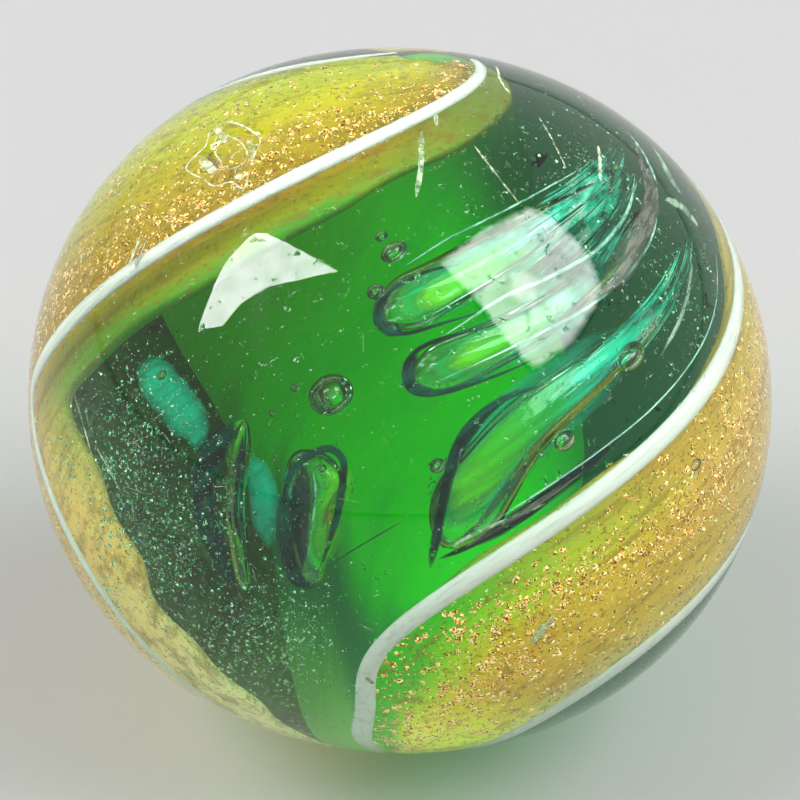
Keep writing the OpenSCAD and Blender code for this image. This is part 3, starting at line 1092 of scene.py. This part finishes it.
def wearRows():
    places = []
    for (x, y, spread, count) in wear["zones"]:
        for i in range(count):
            px = random.gauss(x, spread * 0.6)
            py = random.gauss(y, spread * 0.8)
            if onDisc(px, py, wear["limit"]):
                places.append(atPixel(px, py)[1])
    for i in range(wear["everywhere"]):
        lat = math.degrees(math.asin(random.uniform(-0.99, 0.99)))
        places.append(onBall(random.uniform(0, 360), 0, lat))
    rows = []
    for place in places:
        size = random.triangular(wear["small"], wear["large"], wear["small"])
        rows.append((place, random.uniform(0, 2 * math.pi), size, size * random.uniform(0.25, 0.8)))
    for i in range(wear["scratches"]):
        place = random.choice(places)
        rows.append((place, random.uniform(0, 2 * math.pi), random.uniform(0.08, 0.35), 0.006))
    return rows


def addPit(bm, row):
    place, spin, long, wide = row
    out = normalAt(place)
    facing = out.to_track_quat("Z", "Y").to_matrix().to_4x4() @ Matrix.Rotation(spin, 4, "Z")
    scale = Matrix.Diagonal((long * mm, wide * mm, 1, 1))
    bmesh.ops.create_cone(
        bm, cap_ends=True, segments=5, radius1=1, radius2=0.6, depth=0.01 * mm,
        matrix=Matrix.Translation(place) @ facing @ scale,
    )


def wearMaterial():
    mat, tree, shader = newMaterial("wornSkin")
    tones = [(0.35, (0.5, 0.62, 0.5)), (0.62, (0.9, 0.95, 0.88))]
    fill(
        tree, shader, Base_Color=ramp(tree, grain(tree, 2600, 2), tones),
        Alpha=ramp(tree, grain(tree, 5200, 2), [(0.35, 0.15), (0.6, 0.9)]),
        Roughness=ramp(tree, grain(tree, 900), [(0.3, 0.5), (0.7, 0.8)]),
    )
    return mat


print("glass")
buildGlass()
print("strands and bands")
buildStrands()
for key in bands:
    buildYellow(key)
flakes = flakeMaterial()
for key in bands:
    bm = gather(flakeRows(key), addFlake)
    makePiece("goldstoneBand" + key.capitalize(), bm, flakes, ("goldstone_band_" + key,))
print("core and air threads")
buildCore()
buildTrapLightAndShade()
makePiece("airThreads", gather(threadRows(), addThread), threadMaterial())
buildCreases()
buildTrapEdgeShade()
makePiece("sunkenDust", gather(dustRows(), addFlake), dustMaterial())
print("bruise and wear")
buildBruise()
makePiece("wornSkin", gather(wearRows(), addPit), wearMaterial())

# Floor, light and camera
print("stage")
stage = {
    "floor": (0.64, 0.64, 0.63), "floorAt": -9.2136, "room": (0.8, 0.82, 0.84), "roomLight": 0.45,
    "backdrop": (0.68, 0.68, 0.67),
}
bm = bmesh.new()
bmesh.ops.create_grid(bm, x_segments=1, y_segments=1, size=2.0)
for v in bm.verts:
    v.co.z = stage["floorAt"] * mm
floorMat, floorTree, floorShader = newMaterial("paleFloor")
fill(floorTree, floorShader, Base_Color=(*stage["floor"], 1), Roughness=0.8)
floor = meshObject("floor", bm, floorMat)

world = bpy.data.worlds.new("paleRoom")
bpy.context.scene.world = world
world.use_nodes = True
room = world.node_tree
lit = fill(room, room.nodes["Background"], Color=(*stage["room"], 1), Strength=stage["roomLight"])
seen = addNode(room, "Background", Color=(*stage["backdrop"], 1))
look = addNode(room, "LightPath").outputs
shown = sums(room, "MAXIMUM", look["Is Camera Ray"], look["Is Glossy Ray"])
either = addNode(room, "MixShader", Fac=sums(room, "MAXIMUM", shown, look["Is Transmission Ray"]))
room.links.new(lit.outputs[0], either.inputs[1])
room.links.new(seen.outputs[0], either.inputs[2])
room.links.new(either.outputs[0], room.nodes["World Output"].inputs["Surface"])


def aimedObject(name, data, place):
    holder = bpy.data.objects.new(name, data)
    holder.location = place
    holder.rotation_euler = (-place).to_track_quat("-Z", "Y").to_euler()
    bpy.context.scene.collection.objects.link(holder)
    return holder


def softbox(name, offAxis, toward, distance, wide, high, power):
    # offAxis from the camera's axis, toward is the direction in the picture, both in degrees
    a = math.radians(offAxis)
    b = math.radians(toward)
    line = back * math.cos(a) + (right * math.cos(b) + up * math.sin(b)) * math.sin(a)
    lamp = bpy.data.lights.new(name, "AREA")
    lamp.shape = "RECTANGLE"
    lamp.size = wide
    lamp.size_y = high
    lamp.energy = power
    aimedObject(name, lamp, line * distance).visible_glossy = False


def glintCard(name, corners, shine, distance, soft, least):
    # a glowing card that the ball mirrors at these places of the picture, soft ones fade to the
    # least share of their shine at their edge
    bm = bmesh.new()
    for (px, py) in corners:
        ray, place = atPixel(px, py)
        out = normalAt(place)
        bm.verts.new(place + (ray - out * (2 * ray.dot(out))) * distance)
    face = bmesh.ops.contextual_create(bm, geom=bm.verts[:])["faces"]
    inner = bm.verts.layers.float.new("inner")
    mat, tree, shader = newMaterial(name + "Glow")
    tree.nodes.clear()
    smears = grain(tree, 26, 4, 0.6)
    cloudy = ramp(tree, smears, [(0.3, 0.6), (0.7, 1.0)])
    if soft:
        for v in bmesh.ops.poke(bm, faces=face)["verts"]:
            v[inner] = 1.0
        reach = sums(tree, "MULTIPLY_ADD", sums(tree, "SUBTRACT", smears, 0.5), soft, kept(tree, "inner"))
        fade = sums(tree, "MULTIPLY_ADD", between(tree, reach, 0.0, soft), 1 - least, least)
        cloudy = sums(tree, "MULTIPLY", cloudy, fade)
    else:
        bmesh.ops.triangulate(bm, faces=bm.faces)
    glow = addNode(tree, "Emission", Strength=sums(tree, "MULTIPLY", cloudy, shine))
    addNode(tree, "OutputMaterial", Surface=glow.outputs[0])
    card = meshObject(name, bm, mat)
    for flag in ("camera", "diffuse", "shadow", "volume_scatter"):
        setattr(card, "visible_" + flag, False)


softbox("leftWindow", 57, 139, 0.5, 0.3, 0.22, 1.2)
softbox("rightWindow", 56, 40, 0.5, 0.36, 0.3, 1.4)
# The windows' mirror images: corners in the picture, shine, distance in metres, softness and least
# share of the shine
glints = {
    "sharp": (
        [(198, 330), (210, 297), (224, 265), (252, 234), (266, 234), (315, 260), (337, 273), (296, 282),
         (266, 288), (241, 303), (223, 325)], 21, 0.5, 0.0, 0.0,
    ),
    "soft": (
        [(434, 263), (474, 232), (526, 204), (552, 212), (590, 250), (606, 292), (575, 345), (532, 374),
         (512, 350), (474, 303)], 14, 0.5, 0.16, 0.0,
    ),
    "bright": (
        [(503, 288), (508, 272), (522, 266), (537, 273), (542, 289), (536, 303), (520, 309), (507, 302)],
        23, 0.3, 0.6, 0.55,
    ),
}
for key, values in glints.items():
    glintCard(key + "Glint", *values)

camera = bpy.data.cameras.new("camera")
camera.lens = shot["lens"]
camera.sensor_width = 36
camera.clip_start = 0.01
cam = aimedObject("camera", camera, back * (shot["distance"] * mm))
bpy.context.scene.camera = cam
bpy.context.scene.view_settings.view_transform = "Standard"
